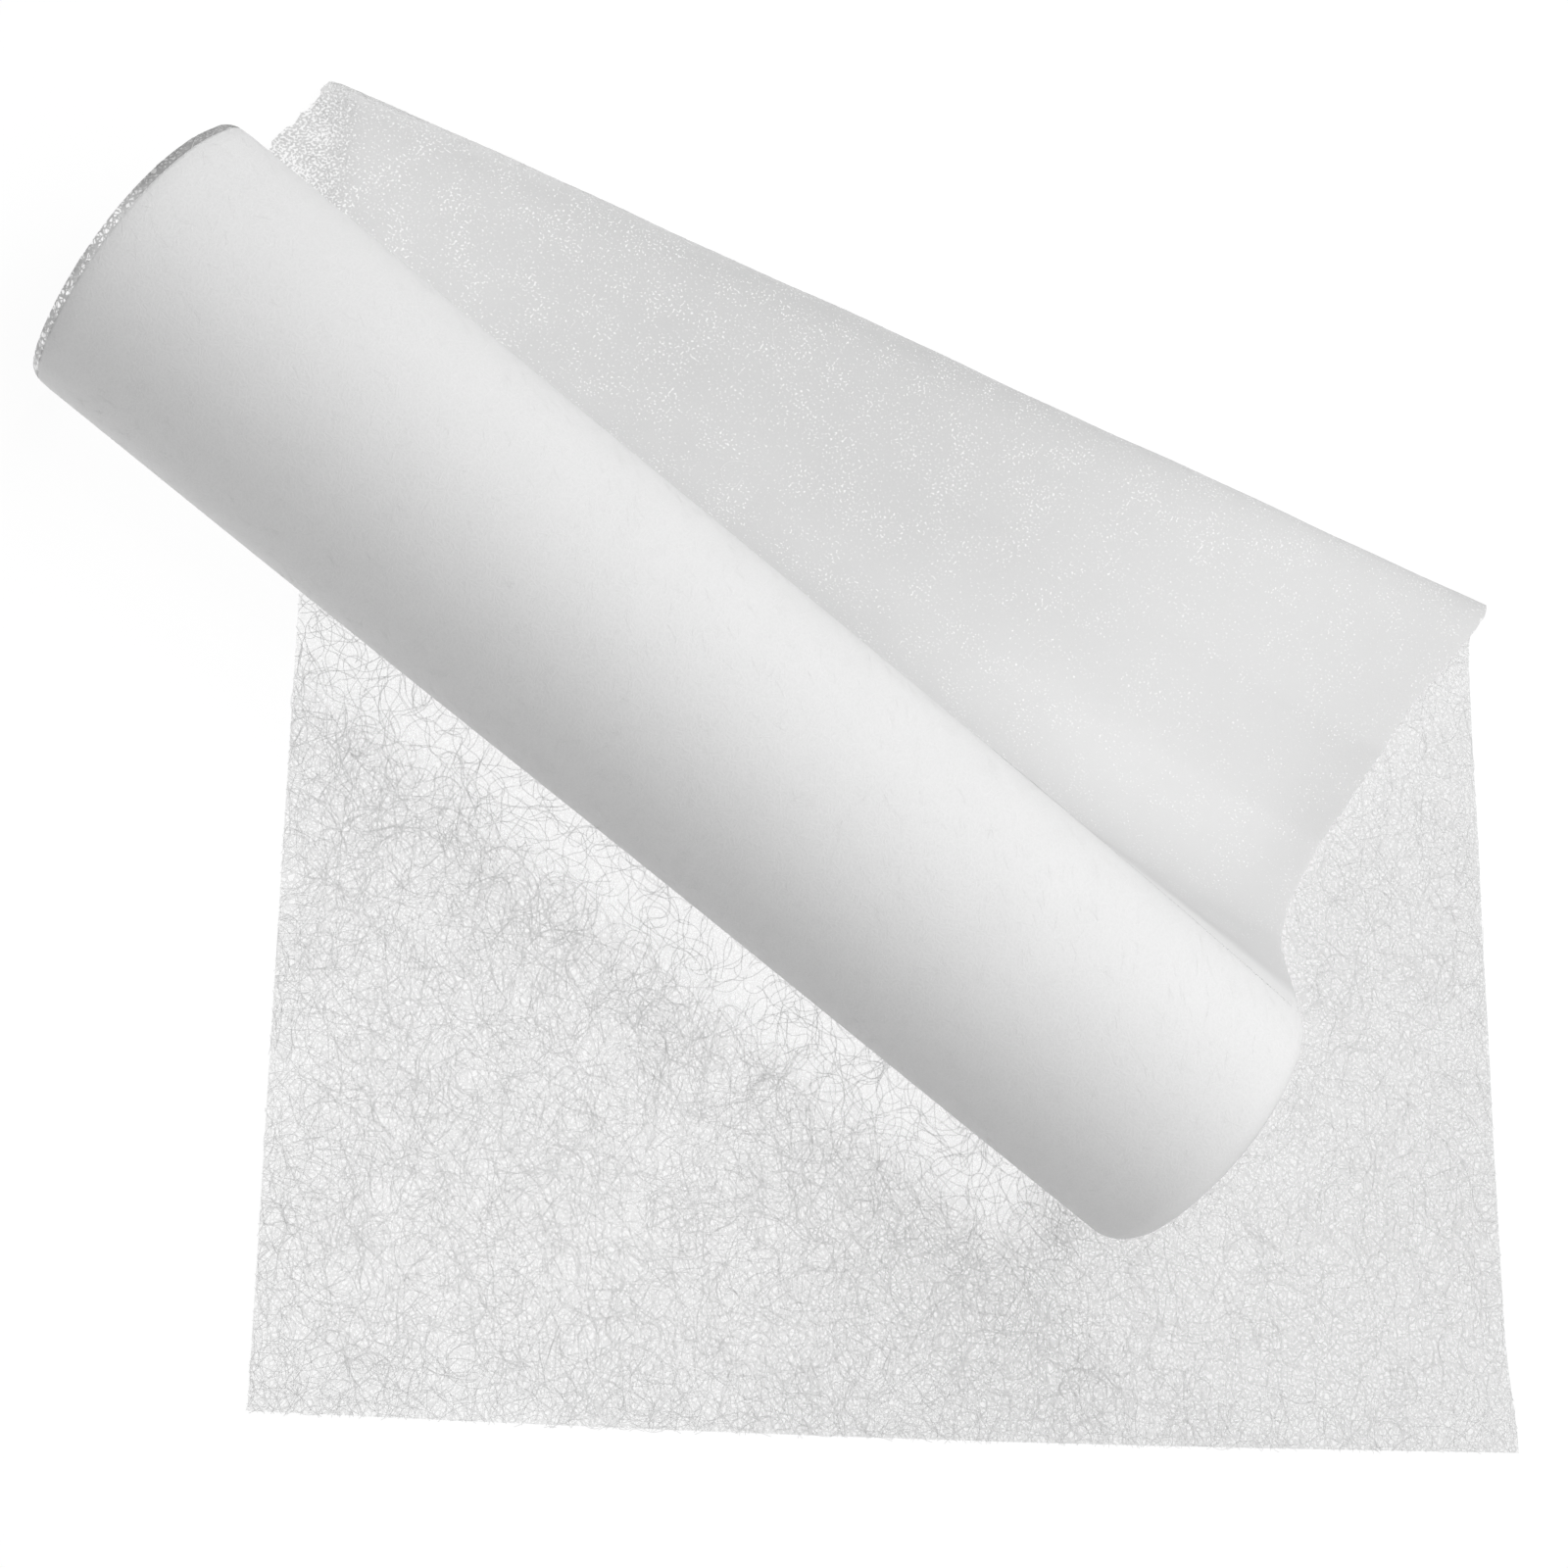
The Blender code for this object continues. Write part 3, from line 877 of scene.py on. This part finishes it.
def wander(rng, count, steps, stride, low, high, spread, curl):
    """Wandering lines on a flat web, one row of points each, most of them along its length."""
    margin = np.array([0.2, 0.6]) * steps * stride
    shares = (np.arange(count)[:, None] * np.array(EVEN_STEPS) + rng.random(2)) % 1.0
    start = np.array(low) - margin + shares * (np.subtract(high, low) + 2 * margin)
    heading = math.pi / 2 + rng.normal(0, spread, count) + math.pi * rng.integers(0, 2, count)
    bend = rng.normal(0, curl, count)
    headings = np.empty((count, steps))
    for number in range(steps):
        bend = BEND_KEPT * bend + rng.normal(0, curl * BEND_NEW, count)
        heading = heading + bend * stride
        headings[:, number] = heading
    moves = stride * np.stack([np.cos(headings), np.sin(headings)], axis=2)
    return start[:, None, :] + np.cumsum(moves, axis=1)


def trim_lines(lines, inside):
    """Cuts the longest stretch inside the web out of each line, and drops what is too short."""
    kept = []
    for line, within in zip(lines, inside):
        bounds = np.flatnonzero(np.diff(np.concatenate([[0], within.astype(int), [0]])))
        starts, ends = bounds[::2], bounds[1::2]
        if len(starts):
            best = int(np.argmax(ends - starts))
            if ends[best] - starts[best] >= SHORTEST_STRAND:
                kept.append(line[starts[best]:ends[best]])
    return kept


def ribbon_mesh(name, lines, lifts, width):
    """Flat ribbons along the lines, each one at its own lift."""
    curve = bpy.data.curves.new(name, "CURVE")
    curve.dimensions = "3D"
    curve.twist_mode = "Z_UP"
    curve.extrude = width / 2
    for line, lift in zip(lines, lifts):
        spline = curve.splines.new("POLY")
        spline.points.add(len(line) - 1)
        rows = np.column_stack([line, np.full(len(line), lift), np.ones(len(line))])
        spline.points.foreach_set("co", rows.astype(np.float32).ravel())
        spline.points.foreach_set("tilt", np.full(len(line), math.pi / 2, dtype=np.float32))
    holder = add_object(name + "_lines", curve)
    bpy.context.view_layer.update()
    ribbons = holder.evaluated_get(bpy.context.evaluated_depsgraph_get())
    mesh = bpy.data.meshes.new_from_object(ribbons)
    bpy.data.objects.remove(holder)
    bpy.data.curves.remove(curve)
    mesh.name = name
    return mesh


def lay_ribbons(name, lines, lifts, width, place, finish):
    """A piece of fibre ribbons, laid on the surface that place gives."""
    mesh = ribbon_mesh(name, lines, lifts, width)
    flat = read_points(mesh)
    write_points(mesh, place(flat[:, 0], flat[:, 1], flat[:, 2]))
    low, high = min(lifts), max(lifts)
    # Each point's share of its strand's lift, which the fibre finishes paint as painted shade on
    # the lower strands.
    point_values(mesh, "height_share", (flat[:, 2] - low) / (high - low))
    mesh.materials.clear()
    mesh.materials.append(finish)
    return add_object(name, mesh)


def settings():
    """The scene, and the roll's form made from its property groups."""
    scene = bpy.context.scene
    roll_form = RollForm(scene.interfacing_roll, scene.interfacing_web)
    return scene, roll_form


FORMS = {}


def web_form():
    """The loose end's form, made once."""
    if "web" not in FORMS:
        scene, roll_form = settings()
        FORMS["web"] = WebForm(roll_form, scene.interfacing_web)
    return FORMS["web"]


class INTERFACING_OT_stage(bpy.types.Operator):
    """Make the pale table, the lights and the camera."""

    bl_idname = "interfacing.stage"
    bl_label = "Set the stage"

    def execute(self, context):
        scene = context.scene
        stage = scene.interfacing_stage
        bm = bmesh.new()
        bmesh.ops.create_grid(bm, x_segments=1, y_segments=1, size=stage.table_side / 2)
        mesh = mesh_from(bm, "table")
        mesh.materials.append(table_finish(scene.interfacing_finish, stage))
        add_object("table", mesh)
        for row in SOFT_LIGHTS:
            self.hang_light(stage, math.radians(row["lean"]), row["share"], row["shift"])
        self.light_sky(scene, stage)
        self.place_camera(scene)
        scene.view_settings.view_transform = "Standard"
        return {"FINISHED"}

    def hang_light(self, stage, lean, share, shift):
        light = bpy.data.lights.new("soft_light", "AREA")
        light.energy = stage.light_power * share
        light.size = stage.light_size
        lamp = add_object("soft_light", light)
        direction = Vector((0, math.sin(lean), math.cos(lean)))
        lamp.location = direction * stage.light_distance + Vector((shift, 0, 0))
        lamp.rotation_euler = (-lean, 0, 0)

    def light_sky(self, scene, stage):
        world = bpy.data.worlds.new("studio")
        world.use_nodes = True
        tree = world.node_tree
        tree.nodes.remove(tree.nodes["Background"])
        soft, white = (
            add_node(tree, "ShaderNodeBackground", {}, {"Color": WHITE, "Strength": strength}, 0)
            for strength in (stage.sky, 1.0))
        seen = add_node(tree, "ShaderNodeLightPath", {}, {}, "Is Camera Ray")
        blend = add_node(tree, "ShaderNodeMixShader", {}, {0: seen, 1: soft, 2: white}, 0)
        feed(tree, tree.nodes["World Output"].inputs["Surface"], blend)
        world.cycles.sampling_method = "NONE"
        scene.world = world

    def place_camera(self, scene):
        data = bpy.data.cameras.new("camera")
        data.sensor_width = SENSOR_SIDE
        data.lens = FOCAL_IN_PIXELS / IMAGE_SIDE * SENSOR_SIDE
        camera = add_object("camera", data)
        look = CAMERA_LOOK.normalized()
        right = look.cross(CAMERA_UP).normalized()
        up = right.cross(look)
        turn = Matrix((right, up, -look)).transposed().to_4x4()
        camera.matrix_world = Matrix.Translation(CAMERA_PLACE) @ turn
        scene.camera = camera


class INTERFACING_OT_roll(bpy.types.Operator):
    """Wind the roll: its body, its ends of edge on edge, and the thin rim at the left."""

    bl_idname = "interfacing.roll"
    bl_label = "Wind the roll"

    FACE_STEP = 0.00045
    LIP = 0.0012
    ROUND_STEPS = 168
    BODY_STEPS = 110
    LEFT_CONE = 0.0014
    RIGHT_CONE = 0.0002
    RIM_LIFT = 0.00004
    LIP_STEPS = 7
    SHOULDER_TURN = math.radians(84)
    SHOULDER_STEPS = 12
    RIM_STEPS = 6
    RELIEF = 0.00035
    RELIEF_TURNS = 64
    RELIEF_SEED = 7

    def execute(self, context):
        scene, form = settings()
        bm = bmesh.new()
        self.spin(bm, self.left_face(form), 1)
        self.spin(bm, self.body(form), 0)
        self.spin(bm, self.right_face(form), 1)
        self.spin(bm, self.rim(form), 2)
        bmesh.ops.remove_doubles(bm, verts=bm.verts, dist=MERGE_DISTANCE)
        bmesh.ops.recalc_face_normals(bm, faces=bm.faces)
        mesh = mesh_from(bm, "web_roll")
        looks = scene.interfacing_finish
        mesh.materials.append(wound_finish(looks, form.roll))
        mesh.materials.append(end_finish(looks, form.roll))
        mesh.materials.append(lace_finish(looks))
        mesh.shade_smooth()
        self.shape(mesh, form)
        roll = add_object("web_roll", mesh)
        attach(roll, "root")
        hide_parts("wound_roll")
        return {"FINISHED"}

    def left_face(self, form):
        roll = form.roll
        start = roll.start + roll.rim_reach
        reaches = np.arange(0.0, roll.radius - self.LIP, self.FACE_STEP)
        return [(start + self.LEFT_CONE * (1 - reach / roll.radius), reach) for reach in reaches]

    def body(self, form):
        roll = form.roll
        start = roll.start + roll.rim_reach
        points = [self.left_face(form)[-1]]
        for turn in np.linspace(0, math.pi / 2, self.LIP_STEPS):
            x = start + self.LIP * (1 - math.cos(turn))
            points.append((x, roll.radius - self.LIP * (1 - math.sin(turn))))
        body_end = form.right_end - roll.shoulder
        along = np.linspace(start + self.LIP, body_end, self.BODY_STEPS)[1:]
        points += [(x, roll.radius) for x in along]
        for turn in np.linspace(0, self.SHOULDER_TURN, self.SHOULDER_STEPS)[1:]:
            x = form.right_end - roll.shoulder * (1 - math.sin(turn))
            points.append((x, roll.radius - roll.shoulder * (1 - math.cos(turn))))
        return points

    def right_face(self, form):
        roll = form.roll
        x, reach = self.body(form)[-1]
        reaches = np.arange(0.0, reach, self.FACE_STEP)[::-1]
        return [(x, reach)] + [(x + self.RIGHT_CONE * (1 - r / reach), r) for r in reaches]

    def rim(self, form):
        roll = form.roll
        reach = roll.rim_reach + self.LIP / 2
        along = np.linspace(roll.start, roll.start + reach, self.RIM_STEPS)
        return [(x, roll.radius + self.RIM_LIFT) for x in along]

    def spin(self, bm, profile, material):
        """Turns an outline of (x, radius) once round the X axis."""
        verts = [bm.verts.new((x, 0, reach)) for x, reach in profile]
        edges = [bm.edges.new(pair) for pair in zip(verts, verts[1:])]
        before = set(bm.faces)
        bmesh.ops.spin(bm, geom=verts + edges, cent=(0, 0, 0), axis=(1, 0, 0), angle=math.tau,
                       steps=self.ROUND_STEPS, use_merge=True)
        for face in bm.faces:
            if face not in before:
                face.material_index = material

    def shape(self, mesh, form):
        """Makes the turned shape a wound one: slack, relief on the ends, and a flat spot."""
        roll = form.roll
        points = read_points(mesh)
        x, y, z = points.T
        reach = np.hypot(y, z)
        angle = np.arctan2(y, z)
        share = form.share_along(x)
        radius = form.radius(angle, share)
        turns = reach / roll.turn_pitch - angle / math.tau
        count = self.RELIEF_TURNS
        steps = np.random.default_rng(self.RELIEF_SEED).uniform(-1, 1, count)
        relief = np.interp(turns % count, np.arange(count), steps) * self.RELIEF
        inner = ease(0.0, 0.003, roll.radius - 0.001 - reach)
        on_left = x < roll.start + roll.rim_reach + 0.0030
        on_right = x > form.right_end - roll.shoulder * 0.9
        x = x + relief * inner * (on_left | on_right)
        reach = (reach - form.droop(x) * ease(0.6, 1.0, reach / roll.radius)) * radius / roll.radius
        new_y = form.axis_y(share) + reach * np.sin(angle)
        new_z = np.maximum(roll.axis_height + reach * np.cos(angle), roll.rest)
        write_points(mesh, np.column_stack([x - form.bow(x, angle), new_y, new_z]))


class INTERFACING_OT_web(bpy.types.Operator):
    """Lay the loose end as one thin web."""

    bl_idname = "interfacing.web"
    bl_label = "Lay the loose end"

    COLUMNS = 124
    ROWS = 300
    NEAR_ROLL = 0.030
    NEAR_FOLD = (0.075, 0.010)
    FOLD_SHADE_BAND = 0.014
    FOLD_SHADE_BAND_GROWTH = 0.016

    def execute(self, context):
        scene = context.scene
        web = scene.interfacing_web
        form = web_form()
        bm = bmesh.new()
        bm.loops.layers.uv.new("UVMap")
        bmesh.ops.create_grid(
            bm, x_segments=self.COLUMNS, y_segments=self.ROWS, size=0.5, calc_uvs=True)
        mesh = mesh_from(bm, "loose_web")
        grid = read_points(mesh)
        across = (grid[:, 0] + 0.5) * web.width
        full = form.at_share(form.free_length + web.held_length, across)
        along = (grid[:, 1] + 0.5) * full
        free = form.at_share(form.free_length, across)
        points = form.place(across, along, np.zeros(len(across)))
        write_points(mesh, points)
        longest = float(form.free_length.max() + web.held_length)
        self.fit_uv(mesh, across, along, web.width, longest)
        point_values(mesh, "upper", form.upper(across, along))
        point_values(mesh, "doubled", form.doubled(points))
        point_values(mesh, "past_hold", (along - free - web.held_shown) / MILLIMETRE)
        point_values(mesh, "near_roll", ease(-self.NEAR_ROLL, 0.0, along - free))
        fold = form.at_share(form.fold_length, across)
        # The band along the fold that the web's finish paints darker: painted shade by the crease.
        reach = self.FOLD_SHADE_BAND + self.FOLD_SHADE_BAND_GROWTH * across / web.width
        point_values(mesh, "fold_painted_shade", ease(reach, 0.0, np.abs(along - fold)))
        point_values(mesh, "near_fold", ease(*self.NEAR_FOLD, np.abs(along - fold)))
        mesh.materials.append(web_finish(scene.interfacing_finish, web, longest))
        mesh.shade_smooth()
        sheet = add_object("loose_web", mesh)
        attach(sheet, "root")
        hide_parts("loose_end")
        return {"FINISHED"}

    def fit_uv(self, mesh, across, along, width, longest):
        """The web's UV map: its flat coordinates as shares of its width and its longest length."""
        corners = np.empty(len(mesh.loops), dtype=np.int32)
        mesh.loops.foreach_get("vertex_index", corners)
        uv = np.column_stack([across[corners] / width, along[corners] / longest])
        mesh.uv_layers[0].data.foreach_set("uv", uv.astype(np.float32).ravel())


class INTERFACING_OT_fibres(bpy.types.Operator):
    """Scatter the strands of fibre on both layers of the loose end."""

    bl_idname = "interfacing.fibres"
    bl_label = "Scatter the web's fibres"

    STEPS = 26
    SPREAD = 0.42
    CURL = 220.0
    STRIP_EDGE = -0.030
    STRIP_FRAY = (0.002, 0.020)
    SHARE_STOPPED = 0.55
    FOLD_OVERLAP = 0.004
    SHORT_OF_ROLL = (0.004, 0.020)
    SINGLE_BELOW = 0.6
    LIFTS_LOWER = (-0.00012, 0.00028)
    LIFTS_UPPER = (-0.00012, 0.00016)
    SHARE_SEEN = 0.015

    def execute(self, context):
        scene = context.scene
        web, sizes, looks = scene.interfacing_web, scene.interfacing_fibre, scene.interfacing_finish
        form = web_form()
        finish = fibre_finish("web_fibre", looks.fibre_dark, looks.fibre_light, 0.45, 0.10)
        top = fibre_finish("top_fibre", looks.fibre_light, looks.web, 0.40)
        rng = np.random.default_rng(sizes.seed)
        for name in ("under_fibres", "over_fibres", "top_fibres"):
            upper = name == "top_fibres"
            count = sizes.web_count // 2 if upper else sizes.web_count
            low = (0.0, form.fold_length.min() if upper else 0.0)
            high = (web.width, form.free_length.max() if upper else form.fold_length.max())
            lines = wander(rng, count, self.STEPS, sizes.stride, low, high, self.SPREAD, self.CURL)
            inside = self.on_upper(form, rng, lines) if upper else self.on_lower(form, rng, lines)
            kept = trim_lines(lines, inside & self.between_edges(web, sizes, rng, lines))
            lifts = rng.uniform(*(self.LIFTS_UPPER if upper else self.LIFTS_LOWER), len(kept))
            look = top if upper else finish
            piece = lay_ribbons(name, kept, lifts, sizes.width, form.place, look)
            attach(piece, "root")
        return {"FINISHED"}

    def between_edges(self, web, sizes, rng, lines):
        """Which points lie between the web's cut edges, or stand out a little past one."""
        past = rng.uniform(0.0, sizes.overshoot, len(lines))[:, None]
        across, along = lines[:, :, 0], lines[:, :, 1]
        return (across > -0.5 * past) & (across < web.width + 0.5 * past) & (along > -past)

    def on_lower(self, form, rng, lines):
        """Which points lie on the lower layer. Fewer strands reach the strip beside the roll."""
        across, along = lines[:, :, 0], lines[:, :, 1]
        fold = form.at_share(form.fold_length, across)
        y = form.place_lines(lines)[:, 1].reshape(across.shape)
        strip = rng.uniform(*self.STRIP_FRAY, len(lines))[:, None]
        stopped = (rng.random(len(lines)) < self.SHARE_STOPPED)[:, None]
        return (along < fold + self.FOLD_OVERLAP) & ~(stopped & (y > self.STRIP_EDGE - strip))

    def on_upper(self, form, rng, lines):
        """Which points lie on the upper layer. Few strands can be told apart where it is double."""
        across, along = lines[:, :, 0], lines[:, :, 1]
        fold = form.at_share(form.fold_length, across)
        free = form.at_share(form.free_length, across)
        doubled = form.doubled(form.place_lines(lines)).reshape(across.shape)
        seen = (rng.random(len(lines)) < self.SHARE_SEEN)[:, None]
        short = rng.uniform(*self.SHORT_OF_ROLL, len(lines))[:, None]
        between = (along > fold - self.FOLD_OVERLAP) & (along < free - short)
        return between & ((doubled < self.SINGLE_BELOW) | seen)


class INTERFACING_OT_fuzz(bpy.types.Operator):
    """Lay strands on the roll and a lacy fringe of them along its left rim."""

    bl_idname = "interfacing.fuzz"
    bl_label = "Add the roll's fuzz"

    # steps: straight pieces in a strand, stride and width: as shares of the web's strands,
    # past: how far a strand may pass each end of its stretch.
    ROLL = {"steps": 8, "stride": 0.6, "width": 0.8, "spread": 0.7, "curl": 150.0,
            "past": (0.0, 0.0), "lifts": (0.00002, 0.00006)}
    RIM = {"steps": 22, "stride": 0.7, "width": 1.0, "spread": 0.3, "curl": 90.0,
           "past": (0.0001, 0.0010), "lifts": (-0.0001, 0.0001)}
    SEED_STEP = 11
    THROUGH = 0.3

    def execute(self, context):
        scene, form = settings()
        sizes, looks = scene.interfacing_fibre, scene.interfacing_finish
        roll = form.roll
        rng = np.random.default_rng(sizes.seed + self.SEED_STEP)
        dark, light = shaded(looks.roll, 0.98), shaded(looks.roll, 1.05)
        finish = fibre_finish("roll_fibre", dark, light, self.THROUGH)
        body = (roll.start + roll.rim_reach, form.right_end - roll.shoulder * 0.5)
        self.scatter(form, rng, "roll_fibres", sizes, sizes.roll_count, body, self.ROLL, finish)
        finish = fibre_finish("rim_fibre", looks.fibre_dark, looks.fibre_light, self.THROUGH)
        rim = (roll.start, roll.start + roll.rim_reach * 0.9)
        self.scatter(form, rng, "rim_fibres", sizes, sizes.rim_count, rim, self.RIM, finish)
        return {"FINISHED"}

    def scatter(self, form, rng, name, sizes, count, stretch, row, finish):
        """Scatters one piece's strands all round a stretch of the roll."""
        half_round = math.pi * form.roll.radius
        low, high = (stretch[0], -half_round), (stretch[1], half_round)
        stride = sizes.stride * row["stride"]
        lines = wander(rng, count, row["steps"], stride, low, high, row["spread"], row["curl"])
        along = lines[:, :, 0]
        within = (along > low[0] - row["past"][0]) & (along < high[0] + row["past"][1])
        lines = trim_lines(lines, within)
        lifts = rng.uniform(*row["lifts"], len(lines))
        piece = lay_ribbons(name, lines, lifts, sizes.width * row["width"], form.place, finish)
        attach(piece, "root")


class INTERFACING_PT_panel(bpy.types.Panel):
    """The steps that build the roll, in the 3D view's sidebar."""

    bl_idname = "INTERFACING_PT_panel"
    bl_label = "Interfacing roll"
    bl_space_type = "VIEW_3D"
    bl_region_type = "UI"
    bl_category = "Interfacing"

    def draw(self, context):
        for operator in OPERATORS:
            self.layout.operator(operator.bl_idname)
        for name, group in PROPERTY_GROUPS.items():
            box = self.layout.box()
            box.label(text=group.__doc__)
            for prop in group.__annotations__:
                box.prop(getattr(context.scene, name), prop)


OPERATORS = (
    INTERFACING_OT_stage,
    INTERFACING_OT_roll,
    INTERFACING_OT_web,
    INTERFACING_OT_fibres,
    INTERFACING_OT_fuzz,
)


def register():
    for name, group in PROPERTY_GROUPS.items():
        bpy.utils.register_class(group)
        setattr(bpy.types.Scene, name, PointerProperty(type=group))
    for operator in OPERATORS:
        bpy.utils.register_class(operator)
    bpy.utils.register_class(INTERFACING_PT_panel)


def unregister():
    bpy.utils.unregister_class(INTERFACING_PT_panel)
    for operator in reversed(OPERATORS):
        bpy.utils.unregister_class(operator)
    for name, group in PROPERTY_GROUPS.items():
        delattr(bpy.types.Scene, name)
        bpy.utils.unregister_class(group)


def main():
    register()
    bpy.ops.interfacing.stage()
    bpy.ops.interfacing.roll()
    bpy.ops.interfacing.web()
    bpy.ops.interfacing.fibres()
    bpy.ops.interfacing.fuzz()


if __name__ == "__main__":
    main()
